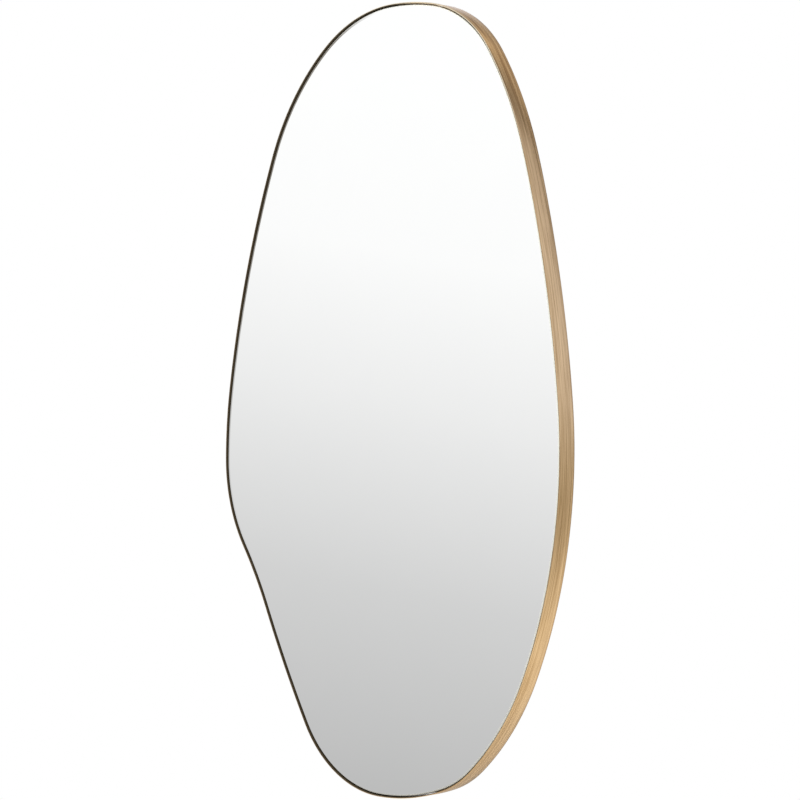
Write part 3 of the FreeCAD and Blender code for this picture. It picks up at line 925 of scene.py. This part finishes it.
# %% Camera
PICTURE_PIXELS = 800
LENS_PIXELS = 2153
AIM = Vector((17.5, -7.5, 1.85)) * MM
VIEW_DISTANCE = 2723 * MM
VIEW_TURN = math.radians(45)

sight = Vector((-math.sin(VIEW_TURN), math.cos(VIEW_TURN), 0))
camera = in_scene("portrait_camera", bpy.data.cameras.new("portrait_camera"))
camera.data.lens = camera.data.sensor_width * LENS_PIXELS / PICTURE_PIXELS
camera.location = AIM - sight * VIEW_DISTANCE
camera.rotation_euler = sight.to_track_quat("-Z", "Y").to_euler()
bpy.context.scene.camera = camera
print("camera:", tuple(round(v, 4) for v in camera.location), "lens", round(camera.data.lens, 2), "mm")

# %% [markdown]
# ## Studio
#
# A mirror shows the room, so the room is part of its look. Walls with panels of light would do, but a world
# whose colour depends only on the direction gives the same soft tones without edges or noise. In front of
# the glass it fades from white above to a soft grey below, and the glass shows that fade. The ceiling is
# dimmer, and so is the side where the camera stands, with a weaker fade of its own. Far to the left it is
# dark, which draws the thin line of the left rim. The side of the band looks behind the mirror, at a ring of
# tones round the mirror's axis: a warm floor, a dim skirting, a cool window, a dark corner and a dim ceiling.
# The picture itself has a plain white ground, so rays straight from the camera see white.

# %% Room
ROOM_WHITE = colour(1, 1, 1)
DIM_HIGH = colour(0.66, 0.65, 0.63)
DIM_LOW = colour(0.38, 0.37, 0.35)
CEILING = colour(0.62, 0.61, 0.60)
DARK_LEFT = colour(0.10, 0.085, 0.06)

# A direction has parts from -1 to 1. Each pair is where a tone sets in and where it is full.
DIM_FADE = (-0.2, 0.2)
NEAR_CAMERA = (0.5, 0.9)
CEILING_FROM = (0.3, 0.7)
BEHIND_FROM = (-0.1, 0.1)
FAR_LEFT = (0.77, 0.87)

# The fade follows a direction's height, tilted sideways by the first share. It reaches up and down by the second.
FADE_TILT = 0.19
FADE_REACH = 0.18

# Tones from the lowest level of the fade to its highest.
front_fade = {0: 0.515, 0.25: 0.652, 0.5: 0.862, 0.69: 0.99, 0.9: 1.02}

# Tones by shares of a turn: the floor lies at a quarter, the right at a half and the ceiling at three quarters.
ring_of_tones = {
    "floor_left": (0.10, colour(0.51, 0.48, 0.44)),
    "floor_shade": (0.235, colour(0.86, 0.83, 0.78)),
    "floor_lit": (0.29, colour(1.22, 1.18, 1.11)),
    "floor_right": (0.38, colour(1.06, 1.03, 0.97)),
    "skirting": (0.44, colour(0.50, 0.47, 0.42)),
    "sill": (0.48, colour(0.57, 0.55, 0.51)),
    "window_low": (0.53, colour(0.88, 0.92, 1.07)),
    "window_high": (0.61, colour(0.76, 0.79, 0.92)),
    "corner": (0.66, colour(0.20, 0.18, 0.15)),
    "corner_deep": (0.69, colour(0.04, 0.03, 0.02)),
    "cornice": (0.70, colour(1.16, 1.06, 0.92)),
    "ceiling_right": (0.76, colour(0.56, 0.51, 0.44)),
    "ceiling_left": (0.84, colour(0.50, 0.47, 0.43)),
    "wall_left": (0.92, colour(1.45, 1.52, 1.70)),
}


def ramp(finish, place, stops):
    return finish.add("ValToRGB", {"stops": stops}, {0: place})[0]


def room():
    world = bpy.data.worlds.new("studio")
    bpy.context.scene.world = world
    finish = Finish(world)
    x, y, z = parts(finish, coordinates(finish, GENERATED))

    # In front of the mirror: the fade, the dimmer side 45 degrees to the right, and the ceiling.
    rightwards = (x - y) * math.sqrt(0.5)
    level = z + rightwards * FADE_TILT
    greys = [(place, colour(tone, tone, tone)) for place, tone in front_fade.items()]
    fade = ramp(finish, 0.5 + level / (2 * FADE_REACH), greys)
    dim_side = mix(finish, soft_step(finish, z, *DIM_FADE), DIM_LOW, DIM_HIGH)
    sides = mix(finish, soft_step(finish, rightwards, *NEAR_CAMERA), fade, dim_side)
    before = mix(finish, soft_step(finish, z, *CEILING_FROM), sides, CEILING)

    # Behind it: the ring of tones. The dark left comes over both.
    turn = calculate(finish.tree, "ARCTAN2", z, x) / math.tau + 0.5
    behind = ramp(finish, turn, list(ring_of_tones.values()))
    round_about = mix(finish, soft_step(finish, y, *BEHIND_FROM), before, behind)
    walls = mix(finish, soft_step(finish, -1 * x, *FAR_LEFT), round_about, DARK_LEFT)

    # Rays straight from the camera see white.
    straight = finish.add("LightPath", {}, {})[0]
    seen = mix(finish, straight, walls, ROOM_WHITE)
    light = finish.add("Background", {}, {"Color": seen, "Strength": 1})[0]
    finish.add("OutputWorld", {}, {"Surface": light})


room()
print("room:", len(ring_of_tones), "tones behind the mirror,", len(front_fade), "in front of it")

# %% [markdown]
# Two soft lamps light what scatters light: the ground edge, the board and the floor. One stands high, and a
# weaker one low. The glass would show them as white squares, so they are left out of reflections.

# %% Lamps
# Each lamp's place and side in metres, and its power in watts.
lamps = {
    "lamp_high": (Vector((0.8, -1.5, 2.2)), 1.2, 58),
    "lamp_low": (Vector((0.6, -1.9, -0.3)), 1.6, 17),
}
for name, (place, side, power) in lamps.items():
    lamp = in_scene(name, bpy.data.lights.new(name, "AREA"))
    lamp.data.size = side
    lamp.data.energy = power
    lamp.visible_glossy = False
    lamp.location = place
    lamp.rotation_euler = (-place).to_track_quat("-Z", "Y").to_euler()
print("lamps:", sorted(lamps))

# %% [markdown]
# The floor is a pale disc well below the mirror, which hangs on a wall in use. Its rim fades out, so that
# no edge shows against the white ground, and it takes the mirror's soft shadow.

# %% Floor
FLOOR_DROP = 1.1
FLOOR_RADIUS = 1.2
FLOOR_PALE = colour(0.86, 0.84, 0.80)
FLOOR_DEEP = colour(0.82, 0.80, 0.76)
FLOOR_FADE = (0.6 * FLOOR_RADIUS, 0.98 * FLOOR_RADIUS)
FLOOR_SIDES = 96


def pale_floor():
    finish = new_material("pale_floor")
    place = place_of(finish)
    distance = finish.add("VectorMath", {"operation": "LENGTH"}, {0: place})[1]
    tone = mix(finish, noise(finish, place, 2.5, detail=3), FLOOR_DEEP, FLOOR_PALE)
    matt = finish.add("BsdfPrincipled", {}, {"Base Color": tone, "Roughness": 0.9})[0]
    clear = finish.add("BsdfTransparent", {}, {})[0]
    faded = soft_step(finish, distance, *FLOOR_FADE)
    blend = finish.add("MixShader", {}, {0: faded, 1: matt, 2: clear})[0]
    finish.add("OutputMaterial", {}, {"Surface": blend})
    return finish.owner


build = bmesh.new()
bmesh.ops.create_circle(build, cap_ends=True, radius=FLOOR_RADIUS, segments=FLOOR_SIDES)
floor = in_scene("floor", mesh_of(build, "floor"))
floor.location.z = -FLOOR_DROP
floor.data.materials.append(pale_floor())
print("floor:", FLOOR_RADIUS, "m round,", FLOOR_DROP, "m below the mirror's middle")

# %% [markdown]
# ## Close
#
# Colours are shown as they are, without a film look.

# %% Close
bpy.context.scene.view_settings.view_transform = "Standard"
